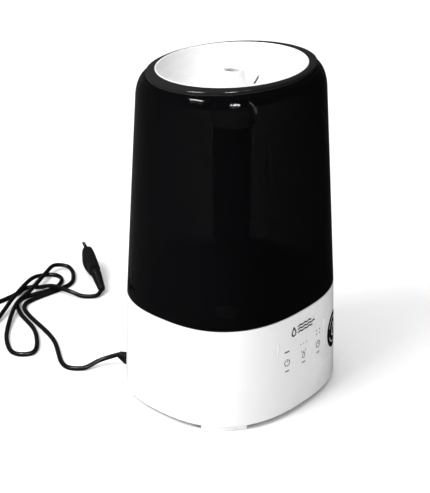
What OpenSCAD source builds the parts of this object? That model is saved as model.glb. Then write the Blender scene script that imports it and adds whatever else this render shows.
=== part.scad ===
// Cool mist humidifier: a white base with the electronics and the water tray,
// a smoked tank that lifts off it, and a black-rimmed lid with a white pouring dish.
// Millimetres, +Z up, origin at the bottom centre, front towards -Y.

/* [Base] */
// Width of the base at its foot
base_w = 210; // [180:1:252]
// Depth of the base at its foot
base_d = 186; // [160:1:224]
// Height of the joint between base and tank
base_h = 105.2; // [98:0.2:126]
// How far each side leans in from the foot to the joint
base_taper = 3.4; // [0:0.2:8]
// Squareness of the plan outline: 2 is an ellipse
base_square = 2.5; // [2.1:0.1:3.2]
// Wall of the base housing
base_wall = 2.8; // [2:0.1:3.4]
// Width of the ledge that carries the water tray
ledge_w = 4; // [3:0.5:6]
// Height of the feet
foot_h = 4.6; // [3.4:0.1:5.6]
// Width of a foot
foot_w = 11; // [6:0.5:14]
// Thickness of the bottom plate
plate_t = 2.8; // [2:0.1:3.4]

/* [Tank] */
// Distance of the shoulder, where the walls start to curve in, below the dish rim
shoulder_drop = 26.4; // [20:0.2:40]
// Distance of the tank's mouth below the dish rim
mouth_drop = 5; // [4:0.2:8]
// How far each side wall leans in up to the shoulder
tank_lean_w = 5.7; // [0:0.1:9]
// How far the front and back walls lean in up to the shoulder
tank_lean_d = 8.4; // [0:0.1:12]
// How far the shoulder curves in at the sides
shoulder_in_w = 7; // [4:0.5:12]
// How far the shoulder curves in at the front and back
shoulder_in_d = 10.8; // [6:0.1:14]
// Wall of the tank
tank_wall = 3; // [2:0.1:3.6]
// Thickness of the tank's floor
floor_t = 3; // [2:0.1:4]
// Height of the raised step in the floor
step_h = 12; // [8:0.5:20]
// Distance of the step's edge from the tank's axis
step_offset = 31; // [28:0.5:37]
// Outer diameter of the mist tube
tube_d = 36.5; // [30:0.5:38]
// Wall of the mist tube
tube_wall = 1.5; // [1.2:0.1:2]
// Distance of the mist tube's upper end below the floor of the dish
tube_drop = 4.4; // [4:0.2:20]

/* [Lid] */
// Height of the dish rim, the top of the whole object
rim_z = 328.4; // [280:0.2:396]
// Width of the black rim at the sides
rim_w = 12; // [8:0.5:14]
// Width of the black rim at the front and back
rim_d = 5; // [4.6:0.1:7]
// Depth of the dish
dish_depth = 34; // [26:1:34]
// Wall of the dish
dish_wall = 2.2; // [1.6:0.1:3]
// Number of drain slots in the dish
slot_count = 16; // [8:1:20]
// Width of a drain slot
slot_w = 2.6; // [1.5:0.1:4]
// Length of a drain slot
slot_len = 11; // [6:0.5:14]
// Depth of the skirt that fits in the tank's mouth
skirt_h = 13; // [8:0.5:16]

/* [Mist nozzle] */
// Diameter of the nozzle's top face
nozzle_top_d = 20; // [18:0.5:26]
// Diameter of the mist outlet
nozzle_hole_d = 13.5; // [8:0.5:14]
// Diameter of the nozzle's foot
nozzle_foot_d = 41; // [38:0.5:46]
// Distance of the nozzle's top below the dish rim
nozzle_drop = 5.5; // [2:0.5:12]
// Wall of the nozzle
nozzle_wall = 1.8; // [1.4:0.1:2.4]

/* [Water tray] */
// Depth of the tray below the base's upper edge
tray_depth = 29; // [24:0.5:32]
// Wall of the tray
tray_wall = 2.6; // [2:0.1:3.2]
// Bore of the transducer well
well_d = 17.2; // [12:0.2:18]
// Bore of the air tower
tower_d = 24; // [18:0.5:26]

/* [Valve] */
// Bore of the valve seat in the tank's floor
valve_bore = 16; // [13:0.5:17]
// Diameter of the valve's stem
stem_d = 6; // [4:0.5:7]
// Wire of the valve spring
spring_wire = 1; // [0.8:0.1:1.2]
// Turns of the valve spring
spring_turns = 4; // [3:1:5]

/* [Float] */
// Diameter of the float
float_d = 22; // [16:1:24]
// Height of the float
float_h = 12; // [8:0.5:12]
// Diameter of the post that guides it
post_d = 5; // [4:0.5:6]

/* [Fan] */
// Side of the square fan housing
fan_size = 60; // [52:1:62]
// Thickness of the fan housing
fan_t = 20; // [16:1:22]
// Number of blades
blade_count = 7; // [5:1:9]
// Diameter of the fan's shaft
shaft_d = 3; // [2:0.5:4]

/* [Front and back] */
// Diameter of the round badge
badge_d = 38; // [24:1:42]
// Height of the badge's centre
badge_z = 57; // [45:1:70]
// Direction of the badge round the outline
badge_turn = -58; // [-66:1:-48]
// Sideways place of the cord outlet
outlet_x = -62; // [-66:1:-40]
// Height of the cord outlet
outlet_z = 14; // [13:0.2:18]

/* [Cord and plug] */
// Diameter of the cord
cord_d = 4.8; // [4.2:0.1:5.2]
// Length of the plug body
plug_len = 43; // [36:1:46]
// Height of the plug body as it stands on its edge
plug_h = 28; // [27:0.5:34]
// Thickness of the plug body
plug_t = 14; // [12:0.5:16]
// Diameter of a plug pin
pin_d = 4; // [3.8:0.1:4.8]
// Length of a plug pin
pin_len = 19; // [16:0.5:19]
// Distance between the plug pins
pin_gap = 18.6; // [17:0.1:19]

/* [Hidden] */
$fn = 48;
sides = 64;
fit = 0.3;
seat_gap = 0.4;
eps = 0.01;

// Plan half sizes at the foot, the joint, the shoulder, the mouth and the dish
foot_half = [base_w / 2, base_d / 2];
joint_half = foot_half - [base_taper, base_taper];
shoulder_half = joint_half - [tank_lean_w, tank_lean_d];
mouth_half = shoulder_half - [shoulder_in_w, shoulder_in_d];
dish_half = mouth_half - [rim_w, rim_d];
shoulder_z = rim_z - shoulder_drop;
mouth_z = rim_z - mouth_drop;
shoulder_square = 2.06;
mouth_square = 2;

// Places in plan, as shares of the half sizes at the foot
valve_at = [-0.5714 * foot_half.x, -0.4946 * foot_half.y];
float_at = [-0.1333 * foot_half.x, -0.6452 * foot_half.y];
fan_at = [-0.4 * foot_half.x, 0.4086 * foot_half.y];

foot_gap = 0.6;
foot_in = 1.8;
housing_z0 = foot_h + foot_gap;
plate_top = foot_h + plate_t;
ledge_z = base_h - 5.4;
tray_top = base_h - 2.6;
tray_floor_top = base_h - tray_depth;
tray_floor_z = tray_floor_top - tray_wall;
tray_gap = ledge_w + 1.5;
tray_bottom_in = 3;
boss_turn = 22;
boss_in = 3.2;
boss_d = 9;
boss_h = 20;
screw_d = 3;
screw_fit = 0.05;
head_d = 5.8;
head_h = 2.2;

tank_z0 = base_h + seat_gap;
floor_top = tank_z0 + floor_t;
step_top = floor_top + step_h;
step_wall = 2.4;
hub_r = 22;
air_channel_w = 26;
tower_top = floor_top + 4;

lid_edge_z = mouth_z + 1.2;
bowl_floor_z = rim_z - dish_depth;
tube_top_z = bowl_floor_z - tube_drop;
dish_hole_d = 34.6;
flat_r = 24;
slot_start = 0.57 * flat_r + 0.43 * dish_half.y;
bowl_power = 2.4;
bowl_steps = 7;
rim_lip = 1.6;
collar_wall = 1.8;
collar_z0 = tube_top_z - 18;
skirt_wall = 1.6;

neck_wall = 1.6;
cap_wall = 2.3;
cap_z0 = tank_z0 - 19.6;
spider_z = cap_z0 + 12;
spider_t = 2;
button_z = cap_z0 - 1.8;
button_t = 2.2;
lift_open = 2;
stem_fit = 0.05;
float_rest = 1.8;
float_travel = 8;
clip_t = 1.5;

fan_top = tray_floor_z - 13.4;
fan_z0 = fan_top - fan_t;
fan_bore = fan_size - 4;
fan_screw_at = fan_size / 2 - 4.6;
motor_d = 20;

board_t = 1.6;
board_z = plate_top + 12;
driver_at = [46, 22];
driver_size = [62, 44];
power_at = [40, -38];
power_size = [58, 38];

plug_heading = 58.5;
relief_len = 32;

// The lead runs from the outlet to a loosely gathered hank and on to the plug.
// The route is laid out behind a base of this half depth and moves with its back wall.
route_base = 93;
route = [
    [-62, 98, 14], [-74, 113, 7], [-93, 121, 2.4], [-100, 142, 2.4], [-70, 190, 2.4], [-50, 252, 2.4],
    [-38, 271, 2.4], [-20, 275, 2.4], [28, 271, 2.4], [50, 285, 2.6], [60, 304, 4.4], [48, 315, 7.2],
    [27, 307, 7.6], [-16, 286, 7.6], [-50, 272, 7.4], [-91, 240, 2.4], [-113, 212, 2.4], [-117, 195, 2.4],
    [-106, 184, 2.4], [-91, 192, 2.4], [-69, 221, 2.4], [-53, 262, 2.4], [-32, 286, 2.4], [8, 278, 2.4],
    [30, 284, 2.4], [38, 299, 2.4], [27, 313, 2.4], [4, 308, 7.2], [-39, 288, 7.6], [-92, 263, 3.2],
    [-126, 268, 2.4], [-116, 300, 2.4], [-33, 299, 2.4], [-9, 303, 2.4], [4, 292, 2.6], [9, 275, 7.6],
    [13, 252, 7], [20, 238, 2.8], [31, 227, 2.8], [42, 229, 6]
];
cord_route = [for (p = route) p + [0, foot_half.y - route_base, 0]];
plug_tip = cord_route[len(cord_route) - 1];

// ---- Outlines ----

function signed_power(v, p) = sign(v) * pow(abs(v), p);

// A point on a rounded-square outline of half sizes h
function outline_point(h, square, turn) =
    [h.x * signed_power(cos(turn), 2 / square), h.y * signed_power(sin(turn), 2 / square)];

function outline(h, square) = [for (i = [0:sides - 1]) outline_point(h, square, 360 * i / sides)];

// The direction that the outline faces at a turn
function outline_heading(h, square, turn) =
    atan2(signed_power(sin(turn), 2 - 2 / square) / h.y, signed_power(cos(turn), 2 - 2 / square) / h.x);

function blend(a, b, t) = a + (b - a) * t;

function base_half(z, inset) =
    blend(foot_half, joint_half, (z - foot_h) / (base_h - foot_h)) - [inset, inset];

function tank_share(z) = (z - base_h) / (shoulder_z - base_h);

function tank_half(z, inset) = blend(joint_half, shoulder_half, tank_share(z)) - [inset, inset];

function tank_square(z) = blend(base_square, shoulder_square, tank_share(z));

function base_level(z, inset) = [z, base_half(z, inset), base_square];

function tank_level(z, inset) = [z, tank_half(z, inset), tank_square(z)];

// The curve of the shoulder from the wall in to the mouth
function shoulder_level(t, inset) =
    let (across = 1 - cos(90 * t), up = sin(90 * t))
    [
        blend(shoulder_z, mouth_z, up) - (inset > 0 ? inset * up : 0),
        blend(shoulder_half, mouth_half, across) - [inset, inset] * (1 - 0.2 * up),
        blend(shoulder_square, mouth_square, t)
    ];

// ---- Lofts: each level is [z, half sizes, squareness] ----

function loft_points(levels) =
    [for (level = levels) for (p = outline(level[1], level[2])) [p.x, p.y, level[0]]];

function loft_sides(from, to) =
    [for (i = [0:sides - 1], half = [0, 1])
        let (j = (i + 1) % sides)
        half == 0 ? [from * sides + i, to * sides + i, to * sides + j]
                  : [from * sides + i, to * sides + j, from * sides + j]];

// A closed body between the first level and the last
module loft(levels) {
    last = len(levels) - 1;
    walls = [for (k = [0:last - 1]) each loft_sides(k, k + 1)];
    bottom = [[for (i = [0:sides - 1]) i]];
    top = [[for (i = [sides - 1:-1:0]) last * sides + i]];
    polyhedron(loft_points(levels), concat(walls, bottom, top), convexity = 6);
}

// A ring-shaped body: its levels run up the outside, over, down the inside and back
module loft_ring(levels) {
    count = len(levels);
    walls = [for (k = [0:count - 1]) each loft_sides(k, (k + 1) % count)];
    polyhedron(loft_points(levels), walls, convexity = 6);
}

module tube(r_out, r_in, h) {
    difference() {
        cylinder(h = h, r = r_out);
        translate([0, 0, -1]) cylinder(h = h + 2, r = r_in);
    }
}

// ---- Base ----

// Where a wall of the base crosses a given x
function wall_y(x, z, inset) =
    let (h = base_half(z, inset))
    h.y * pow(1 - pow(abs(x) / h.x, base_square), 1 / base_square);

function boss_point(quadrant) =
    let (p = outline_point(base_half(plate_top, base_wall + boss_in), base_square, boss_turn))
    [p.x * (quadrant % 2 == 0 ? 1 : -1), p.y * (quadrant < 2 ? 1 : -1)];

badge_point = outline_point(base_half(badge_z, 0), base_square, badge_turn);
badge_heading = outline_heading(base_half(badge_z, 0), base_square, badge_turn);

// A disc across the wall at the badge's place
module badge_disc(d) {
    translate([badge_point.x, badge_point.y, badge_z])
        rotate([0, 90, badge_heading])
            translate([0, 0, -8]) cylinder(h = 12, d = d);
}

module badge_skin(outside, inside) {
    low = badge_z - badge_d;
    high = badge_z + badge_d;
    loft_ring([
        base_level(low, -outside), base_level(high, -outside),
        base_level(high, inside), base_level(low, inside)
    ]);
}

module base_housing() {
    guide_x = 35.4;
    color("white") difference() {
        union() {
            loft_ring([
                base_level(housing_z0, 1), base_level(housing_z0 + 1.2, 0), base_level(base_h - 1, 0),
                base_level(base_h, 0.8), base_level(base_h, base_wall), base_level(ledge_z, base_wall),
                base_level(ledge_z, base_wall + ledge_w), base_level(ledge_z - 2, base_wall + ledge_w),
                base_level(ledge_z - 6, base_wall), base_level(housing_z0, base_wall)
            ]);
            for (q = [0:3])
                translate([boss_point(q).x, boss_point(q).y, plate_top]) cylinder(h = boss_h, d = boss_d);
            for (side = [-1, 1])
                translate([side * guide_x - 1, -base_half(badge_z, base_wall + 0.5).y, 32])
                    cube([2, 8, 50]);
        }
        for (q = [0:3])
            translate([boss_point(q).x, boss_point(q).y, plate_top - 1])
                cylinder(h = boss_h - 3, d = screw_d + 2 * screw_fit);
        translate([outlet_x, foot_half.y - 40, outlet_z])
            rotate([-90, 0, 0]) cylinder(h = 60, r = 4.1);
        intersection() {
            badge_disc(badge_d + 0.3);
            badge_skin(2, 1.3);
        }
    }
}

module round_badge() {
    color([0.06, 0.06, 0.07]) intersection() {
        badge_disc(badge_d);
        badge_skin(0.2, 1.2);
    }
}

module bottom_plate() {
    grille_slots = 7;
    color([0.85, 0.85, 0.85]) difference() {
        union() {
            loft([base_level(foot_h, base_wall + fit), base_level(plate_top, base_wall + fit)]);
            for (spot = [driver_at, power_at], sx = [-1, 1], sy = [-1, 1])
                let (half = (spot == driver_at ? driver_size : power_size) / 2 - [4, 4])
                translate([spot.x + sx * half.x, spot.y + sy * half.y, plate_top - 0.5])
                    cylinder(h = board_z - plate_top + 0.5, d = 6);
        }
        for (q = [0:3])
            translate([boss_point(q).x, boss_point(q).y, foot_h - 1]) cylinder(h = plate_t + 2, d = screw_d + 0.4);
        for (i = [0:grille_slots - 1])
            translate([fan_at.x - 21, fan_at.y - 21 + i * 6.5, foot_h - 1]) cube([42, 3.4, plate_t + 2]);
    }
}

// One foot follows the plate's outline round a corner
module feet() {
    arc = [for (i = [0:10]) 24 + 3 * i];
    outer = base_half(foot_h, foot_in);
    inner = outer - [foot_w, foot_w];
    outline_out = [for (t = arc) outline_point(outer, base_square, t)];
    outline_in = [for (i = [10:-1:0]) outline_point(inner, base_square, arc[i])];
    color([0.9, 0.9, 0.88])
        for (mx = [0, 1], my = [0, 1])
            mirror([mx, 0, 0]) mirror([0, my, 0])
                linear_extrude(foot_h) polygon(concat(outline_out, outline_in));
}

module plate_screws() {
    color("silver")
        for (q = [0:3])
            translate([boss_point(q).x, boss_point(q).y, foot_h - head_h]) {
                cylinder(h = head_h, d = head_d);
                cylinder(h = head_h + plate_t + boss_h - 5, d = screw_d);
            }
}

// ---- Water tray and transducer ----

tray_in = base_wall + tray_gap;

module at_ring_screws() {
    for (i = [0:2]) rotate(120 * i - 25) translate([18, 0, 0]) children();
}

module water_tray() {
    color("whitesmoke") difference() {
        union() {
            loft([
                [tray_floor_z, base_half(ledge_z, tray_in + tray_bottom_in), base_square],
                [ledge_z - 8, base_half(ledge_z, tray_in), base_square],
                [ledge_z, base_half(ledge_z, tray_in), base_square],
                [ledge_z, base_half(ledge_z, base_wall + fit), base_square],
                [tray_top, base_half(ledge_z, base_wall + fit), base_square],
                [tray_top, base_half(ledge_z, tray_in + tray_wall), base_square],
                [tray_floor_top, base_half(ledge_z, tray_in + tray_wall + tray_bottom_in), base_square]
            ]);
            translate([fan_at.x, fan_at.y, tray_floor_z]) cylinder(h = tower_top - tray_floor_z, d = tower_d + 4);
            translate([valve_at.x, valve_at.y, tray_floor_top - eps])
                cylinder(h = button_z - tray_floor_top - 0.2, d = 7);
            translate([float_at.x, float_at.y, tray_floor_top - eps]) cylinder(h = float_rest, d = post_d + 6);
            translate([float_at.x, float_at.y, tray_floor_top - eps])
                cylinder(h = float_rest + float_h + float_travel + 3, d = post_d);
            at_ring_screws() translate([0, 0, tray_floor_z - 2]) cylinder(h = 2.5, d = 8);
        }
        translate([fan_at.x, fan_at.y, tray_floor_z - 1]) cylinder(h = tower_top - tray_floor_z + 2, d = tower_d);
        translate([0, 0, tray_floor_z - 1]) cylinder(h = tray_wall + 2, d = well_d);
        at_ring_screws() translate([0, 0, tray_floor_z - 3]) cylinder(h = 5, d = screw_d + 2 * screw_fit);
    }
}

module transducer_disc() {
    color("silver") translate([0, 0, tray_floor_z - 1.5]) cylinder(h = 1.1, r = 10);
}

// The seal wraps the disc's edge between the tray and the clamp ring
module transducer_seal() {
    color("black") translate([0, 0, tray_floor_z]) rotate_extrude()
        polygon([[10.1, -2], [13, -2], [13, 0], [well_d / 2, 0], [well_d / 2, -0.35], [10.1, -0.35]]);
}

// The clamp ring has three ears for its screws
module transducer_ring() {
    color([0.7, 0.72, 0.74]) translate([0, 0, tray_floor_z - 5]) difference() {
        union() {
            cylinder(h = 3, r = 14.5);
            at_ring_screws() {
                cylinder(h = 3, d = 8);
                translate([-10, -4, 0]) cube([10, 8, 3]);
            }
        }
        translate([0, 0, -1]) cylinder(h = 5, r = 7.5);
        at_ring_screws() translate([0, 0, -1]) cylinder(h = 6, d = screw_d + 0.4);
    }
}

module transducer_screws() {
    color("silver") at_ring_screws() translate([0, 0, tray_floor_z - 5 - head_h]) {
        cylinder(h = head_h, d = head_d);
        cylinder(h = head_h + 6.5, d = screw_d);
    }
}

// ---- Fan and air path ----

module fan_corners() {
    for (sx = [-1, 1], sy = [-1, 1])
        translate([sx * fan_screw_at, sy * fan_screw_at, 0]) children();
}

module fan_housing() {
    color([0.1, 0.1, 0.11]) translate([fan_at.x, fan_at.y, fan_z0]) difference() {
        union() {
            difference() {
                translate([-fan_size / 2, -fan_size / 2, 0]) cube([fan_size, fan_size, fan_t]);
                translate([0, 0, -1]) cylinder(h = fan_t + 2, d = fan_bore);
            }
            for (i = [0:3])
                rotate(90 * i) translate([8, -1.5, 0]) cube([fan_size / 2 - 9, 3, 2]);
            cylinder(h = 3, d = motor_d + 2);
        }
        fan_corners() translate([0, 0, -1]) cylinder(h = fan_t + 2, d = screw_d + 0.4);
    }
}

module fan_motor() {
    color([0.72, 0.45, 0.2]) translate([fan_at.x, fan_at.y, fan_z0 + 3]) tube(motor_d / 2, shaft_d / 2 + 0.05, 8);
}

module fan_shaft() {
    color("silver") translate([fan_at.x, fan_at.y, fan_z0 + 3.2]) cylinder(h = fan_t - 5.4, d = shaft_d);
}

module fan_rotor() {
    hub_out = motor_d / 2 + 3;
    blade_r = fan_bore / 2 - 1.4;
    color([0.16, 0.16, 0.17]) translate([fan_at.x, fan_at.y, fan_z0 + 4.5]) {
        difference() {
            union() {
                cylinder(h = fan_t - 6.7, r = hub_out);
                for (i = [0:blade_count - 1])
                    rotate(360 * i / blade_count) intersection() {
                        translate([0, 0, 6]) rotate([35, 0, 0]) translate([hub_out - 1, -8, -0.8])
                            cube([blade_r - hub_out + 3, 16, 1.6]);
                        cylinder(h = fan_t - 6.7, r = blade_r);
                    }
            }
            translate([0, 0, -1]) cylinder(h = 8.5, r = motor_d / 2 + 0.8);
            translate([0, 0, -1]) cylinder(h = fan_t, d = shaft_d);
        }
    }
}

module fan_screws() {
    color("silver") translate([fan_at.x, fan_at.y, fan_z0 - head_h]) fan_corners() {
        cylinder(h = head_h, d = head_d);
        cylinder(h = head_h + fan_t + 9, d = screw_d);
    }
}

// The duct narrows from the fan's outlet to the air tower
module air_duct() {
    rise = tray_floor_z - fan_top;
    color([0.88, 0.88, 0.88]) translate([fan_at.x, fan_at.y, fan_top]) difference() {
        union() {
            translate([-fan_size / 2, -fan_size / 2, 0]) cube([fan_size, fan_size, 2]);
            cylinder(h = rise, r1 = fan_bore / 2 + 1.6, r2 = tower_d / 2 + 2);
            fan_corners() cylinder(h = rise, d = 8);
        }
        translate([0, 0, -eps]) cylinder(h = rise + 2 * eps, r1 = fan_bore / 2, r2 = tower_d / 2);
        fan_corners() translate([0, 0, -1]) cylinder(h = 11, d = screw_d + 2 * screw_fit);
    }
}

// ---- Electronics ----

module driver_board() {
    color([0.05, 0.3, 0.15]) translate([driver_at.x, driver_at.y, board_z]) {
        translate([-driver_size.x / 2, -driver_size.y / 2, 0]) cube([driver_size.x, driver_size.y, board_t]);
        translate([-24, -14, board_t - eps]) cylinder(h = 12, d = 10);
        translate([-24, 4, board_t - eps]) cylinder(h = 12, d = 10);
        translate([20, -8, board_t - eps]) cube([8, 16, 9]);
    }
}

module heat_sink() {
    fins = 6;
    color([0.75, 0.76, 0.78]) translate([driver_at.x - 14, driver_at.y - 13, board_z + board_t]) {
        cube([28, 26, 3]);
        for (i = [0:fins - 1])
            translate([i * 5.2, 0, 2.5]) cube([2, 26, 17]);
    }
}

module power_board() {
    color([0.1, 0.25, 0.4]) translate([power_at.x, power_at.y, board_z]) {
        translate([-power_size.x / 2, -power_size.y / 2, 0]) cube([power_size.x, power_size.y, board_t]);
        translate([-22, -13, board_t - eps]) cube([24, 22, 18]);
        translate([14, 6, board_t - eps]) cylinder(h = 20, d = 14);
        translate([14, -10, board_t - eps]) cylinder(h = 12, d = 8);
    }
}

module touch_board() {
    board_w = 68;
    board_h = 44;
    board_y = -base_half(badge_z, base_wall).y + 3.6;
    color([0.08, 0.25, 0.12]) translate([0, board_y, 0]) {
        translate([-board_w / 2, 0, 36]) cube([board_w, board_t, board_h]);
        for (i = [-1:1])
            translate([i * 24.4, 0.1, 57]) rotate([90, 0, 0]) cylinder(h = 1.6, d = 12);
    }
}

// ---- Float ----

module float_puck() {
    color([0.95, 0.95, 0.95]) translate([float_at.x, float_at.y, tray_floor_top + float_rest]) difference() {
        tube(float_d / 2, post_d / 2 + 0.6, float_h);
        translate([0, 0, -eps]) tube(float_d / 2 - 2, post_d / 2 + 2, 3);
    }
}

module float_magnet() {
    color([0.25, 0.25, 0.27]) translate([float_at.x, float_at.y, tray_floor_top + float_rest])
        tube(float_d / 2 - 2, post_d / 2 + 2, 3 - eps);
}

module float_clip() {
    color("silver")
        translate([float_at.x, float_at.y, tray_floor_top + float_rest + float_h + float_travel + 0.6])
            tube(post_d / 2 + 2, post_d / 2 + stem_fit, clip_t);
}

// ---- Tank ----

module tank_shell() {
    heights = [0, 0.25, 0.5, 0.75, 1];
    curve = [0.2, 0.4, 0.6, 0.8, 1];
    wall_out = [for (t = heights) tank_level(blend(tank_z0, shoulder_z, t), 0)];
    wall_in = concat(
        [for (t = [1, 0.75, 0.5, 0.25]) tank_level(blend(tank_z0, shoulder_z, t), tank_wall)],
        [tank_level(floor_top, tank_wall), tank_level(tank_z0, tank_wall)]
    );
    curve_out = [for (t = curve) shoulder_level(t, 0)];
    curve_in = [for (t = [0.8, 0.6, 0.4, 0.2]) shoulder_level(t, tank_wall)];
    mouth_in = [[mouth_z, mouth_half - [tank_wall, tank_wall], mouth_square],
                [mouth_z - 3, mouth_half - [tank_wall, tank_wall], mouth_square]];
    color([0.1, 0.1, 0.11, 0.6]) loft_ring(concat(wall_out, curve_out, mouth_in, curve_in, wall_in));
}

// The raised part of the floor: a step across the back left corner and a hub for the mist tube
module step_solid(inset, z0, z1) {
    loft_half = tank_half(tank_z0, tank_wall + 1.5 + inset);
    intersection() {
        loft([[z0, loft_half, base_square], [z1, loft_half, base_square]]);
        rotate(135) translate([step_offset + inset, -200, z0 - 1]) cube([200, 400, z1 - z0 + 2]);
    }
    translate([0, 0, z0]) cylinder(h = z1 - z0, r = hub_r - inset);
    rotate(135) translate([0, inset - air_channel_w / 2, z0])
        cube([step_offset + 8, air_channel_w - 2 * inset, z1 - z0]);
}

module tank_floor() {
    color([0.12, 0.12, 0.13, 0.7]) difference() {
        union() {
            loft([tank_level(tank_z0, tank_wall), tank_level(floor_top, tank_wall)]);
            step_solid(0, floor_top - 1, step_top);
            translate([valve_at.x, valve_at.y, tank_z0 - 7]) cylinder(h = 8, r = valve_bore / 2 + neck_wall);
        }
        step_solid(step_wall, tank_z0 - 1, step_top - step_wall);
        translate([0, 0, step_top - 5]) cylinder(h = 10, d = tube_d - 2 * tube_wall);
        translate([valve_at.x, valve_at.y, tank_z0 - 8]) cylinder(h = floor_t + 10, d = valve_bore);
    }
}

module mist_tube() {
    color([0.1, 0.1, 0.11, 0.7]) translate([0, 0, step_top]) rotate_extrude()
        polygon([
            [tube_d / 2 - tube_wall, 0], [tube_d / 2 + 2.6, 0], [tube_d / 2 + 2.6, 3], [tube_d / 2, 7],
            [tube_d / 2, tube_top_z - step_top], [tube_d / 2 - tube_wall, tube_top_z - step_top]
        ]);
}

// The cap screws over the neck under the floor and guides the stem in a spoked web
module valve_cap() {
    cap_r = valve_bore / 2 + neck_wall + 0.1;
    color([0.2, 0.2, 0.21]) translate([valve_at.x, valve_at.y, 0]) difference() {
        union() {
            translate([0, 0, cap_z0]) tube(cap_r + cap_wall, cap_r, tank_z0 - 0.2 - cap_z0);
            translate([0, 0, spider_z - spider_t]) cylinder(h = spider_t, r = cap_r + 1);
        }
        translate([0, 0, spider_z - 4]) cylinder(h = 8, d = stem_d + 2 * stem_fit);
        for (i = [0:5])
            rotate(60 * i) translate([stem_d / 2 + 3.6, 0, spider_z - 4]) cylinder(h = 8, d = 3);
    }
}

module valve_plunger() {
    head_z = floor_top + lift_open + 1.4;
    color([0.8, 0.8, 0.8]) translate([valve_at.x, valve_at.y, 0]) {
        translate([0, 0, head_z]) rotate_extrude()
            polygon([
                [0, 0], [valve_bore / 2 + 3, 0], [valve_bore / 2 + 3, 1.2], [valve_bore / 2, 2.6],
                [valve_bore / 4, 3.8], [0, 4.2]
            ]);
        translate([0, 0, button_z]) cylinder(h = head_z - button_z + 0.5, d = stem_d);
        translate([0, 0, button_z]) cylinder(h = button_t, d = 14);
    }
}

module valve_seal() {
    color([0.75, 0.75, 0.75]) translate([valve_at.x, valve_at.y, floor_top + lift_open])
        tube(valve_bore / 2 + 2.4, stem_d / 2, 1.4);
}

// Points round a wire at a given place along the coil
function coil_ring(turns, radius, z, wire) =
    [for (i = [0:5])
        let (a = 60 * i, r = radius + wire * cos(a))
        [r * cos(360 * turns), r * sin(360 * turns), z + wire * sin(a)]];

module valve_spring() {
    wire = spring_wire / 2;
    z0 = button_z + button_t + wire + 0.05;
    z1 = spider_z - spider_t - wire - 0.05;
    steps = spring_turns * 14;
    points = [for (k = [0:steps]) each coil_ring(spring_turns * k / steps, 5, blend(z0, z1, k / steps), wire)];
    walls = [for (k = [0:steps - 1], i = [0:5])
        let (j = (i + 1) % 6)
        [6 * k + i, 6 * k + j, 6 * k + 6 + j, 6 * k + 6 + i]];
    ends = [[5, 4, 3, 2, 1, 0], [for (i = [0:5]) 6 * steps + i]];
    color("silver") translate([valve_at.x, valve_at.y, 0])
        polyhedron(points, concat(walls, ends), convexity = 10);
}

// ---- Lid ----

module lid_rim() {
    skirt_half = mouth_half - [tank_wall + fit, tank_wall + fit];
    skirt_in = skirt_half - [skirt_wall, skirt_wall];
    dish_edge = dish_half + [0.2, 0.2];
    color([0.05, 0.05, 0.06]) loft_ring([
        [lid_edge_z, mouth_half, mouth_square], [rim_z - 2, mouth_half, mouth_square],
        [rim_z - 1.1, mouth_half - [1, 0.8], mouth_square], [rim_z - 0.3, dish_edge, mouth_square],
        [rim_z - 5, dish_edge, mouth_square], [rim_z - 5, skirt_in, mouth_square],
        [mouth_z - skirt_h, skirt_in, mouth_square], [mouth_z - skirt_h, skirt_half, mouth_square],
        [lid_edge_z, skirt_half, mouth_square]
    ]);
}

module lid_seal() {
    outer = mouth_half - [0.8, 0.8];
    inner = mouth_half - [tank_wall - 0.2, tank_wall - 0.2];
    color([0.3, 0.3, 0.3]) loft_ring([
        [mouth_z + 0.1, outer, mouth_square], [lid_edge_z, outer, mouth_square],
        [lid_edge_z, inner, mouth_square], [mouth_z + 0.1, inner, mouth_square]
    ]);
}

function bowl_half(s) = blend([flat_r, flat_r], dish_half - [rim_lip, rim_lip], s);

function bowl_level(s, drop) =
    [bowl_floor_z + (dish_depth - 0.6) * pow(s, bowl_power) - drop, bowl_half(s), mouth_square];

module lid_dish() {
    steps = [for (i = [bowl_steps:-1:0]) i / bowl_steps];
    inside = [for (s = steps) bowl_level(s, 0)];
    outside = [for (i = [0:bowl_steps]) bowl_level(i / bowl_steps, dish_wall)];
    hole = [dish_hole_d / 2, dish_hole_d / 2];
    color("white") difference() {
        loft_ring(concat(
            [[rim_z - 3, dish_half, mouth_square], [rim_z, dish_half, mouth_square]],
            [[rim_z, dish_half - [rim_lip - 0.4, rim_lip - 0.4], mouth_square]],
            inside,
            [[bowl_floor_z, hole, mouth_square], [bowl_floor_z - dish_wall, hole, mouth_square]],
            outside
        ));
        for (i = [0:slot_count - 1])
            rotate(360 * (i + 0.5) / slot_count)
                translate([slot_start, -slot_w / 2, bowl_floor_z - 6]) cube([slot_len, slot_w, 28]);
    }
}

// The collar drops over the tank's mist tube and carries the nozzle's seat
module lid_collar() {
    inner = tube_d / 2 + 0.35;
    top = bowl_floor_z - dish_wall;
    color("white") rotate_extrude()
        polygon([
            [inner, collar_z0], [inner + collar_wall, collar_z0], [inner + collar_wall, top - 1.6],
            [flat_r, top - 1.6], [flat_r, top], [inner, top]
        ]);
}

module mist_nozzle() {
    top_z = rim_z - nozzle_drop;
    foot_r = nozzle_foot_d / 2;
    plug_r = dish_hole_d / 2 - 0.3;
    hole_r = nozzle_hole_d / 2;
    wall = nozzle_wall;
    color("white") rotate_extrude()
        polygon([
            [plug_r - wall, bowl_floor_z - 3.2], [plug_r, bowl_floor_z - 3.2], [plug_r, bowl_floor_z + 0.1],
            [foot_r, bowl_floor_z + 0.1], [foot_r, bowl_floor_z + 1.6], [foot_r - 2, bowl_floor_z + 2.6],
            [nozzle_top_d / 2 + 0.6, top_z - 1], [nozzle_top_d / 2, top_z], [hole_r + 1, top_z],
            [hole_r, top_z - 1], [hole_r, top_z - 2.4], [plug_r - wall, bowl_floor_z + 2]
        ]);
}

// ---- Cord and plug ----

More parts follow.
